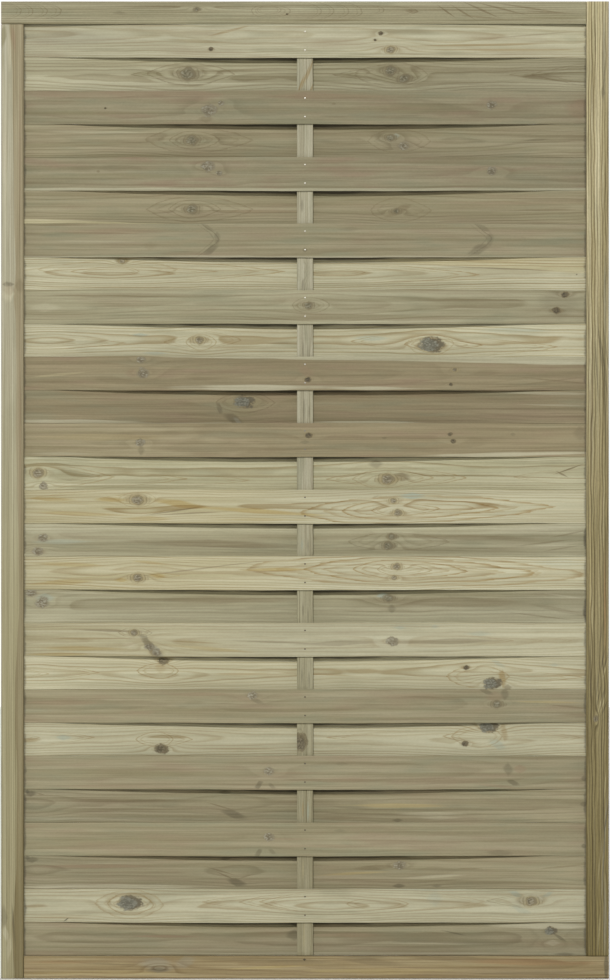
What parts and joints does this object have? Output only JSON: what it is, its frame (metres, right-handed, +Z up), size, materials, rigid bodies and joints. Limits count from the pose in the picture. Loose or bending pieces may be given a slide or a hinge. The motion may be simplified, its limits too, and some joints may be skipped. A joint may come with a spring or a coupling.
{
  "type": "woven fence panel",
  "caption": "Woven timber fence panel: thin bowed slats pass in turn in front of and behind an upright batten, inside a rectangular frame of grooved stiles and plain rails.",
  "frame": {"origin": "middle of the panel's bottom edge, half-way through its depth", "axes": "+X across the panel, to the right seen from the front; +Y towards the back; +Z up"},
  "size_m": [1.12, 0.042, 1.8005],
  "materials": {
    "frame_wood": "planed softwood, pressure treated, with a faint green cast",
    "slat_wood": "planed softwood, pressure treated, knots and flat-sawn grain",
    "batten_wood": "planed softwood, pressure treated, straight grain",
    "nail_steel": "bright zinc plated"
  },
  "bodies": {
    "root": {"back_slat_nails": "nail_steel", "batten_nails": "nail_steel", "bottom_rail": "frame_wood", "centre_batten": "batten_wood", "corner_nails": "nail_steel", "front_slat_nails": "nail_steel", "left_stile": "frame_wood", "right_stile": "frame_wood", "slat_01": "slat_wood", "slat_02": "slat_wood", "slat_03": "slat_wood", "slat_04": "slat_wood", "slat_05": "slat_wood", "slat_06": "slat_wood", "slat_07": "slat_wood", "slat_08": "slat_wood", "slat_09": "slat_wood", "slat_10": "slat_wood", "slat_11": "slat_wood", "slat_12": "slat_wood", "slat_13": "slat_wood", "slat_14": "slat_wood", "slat_15": "slat_wood", "slat_16": "slat_wood", "slat_17": "slat_wood", "slat_18": "slat_wood", "slat_19": "slat_wood", "slat_20": "slat_wood", "slat_21": "slat_wood", "slat_22": "slat_wood", "slat_23": "slat_wood", "slat_24": "slat_wood", "slat_25": "slat_wood", "slat_26": "slat_wood", "slat_27": "slat_wood", "slat_28": "slat_wood", "top_rail": "frame_wood"}
  },
  "joints": []
}
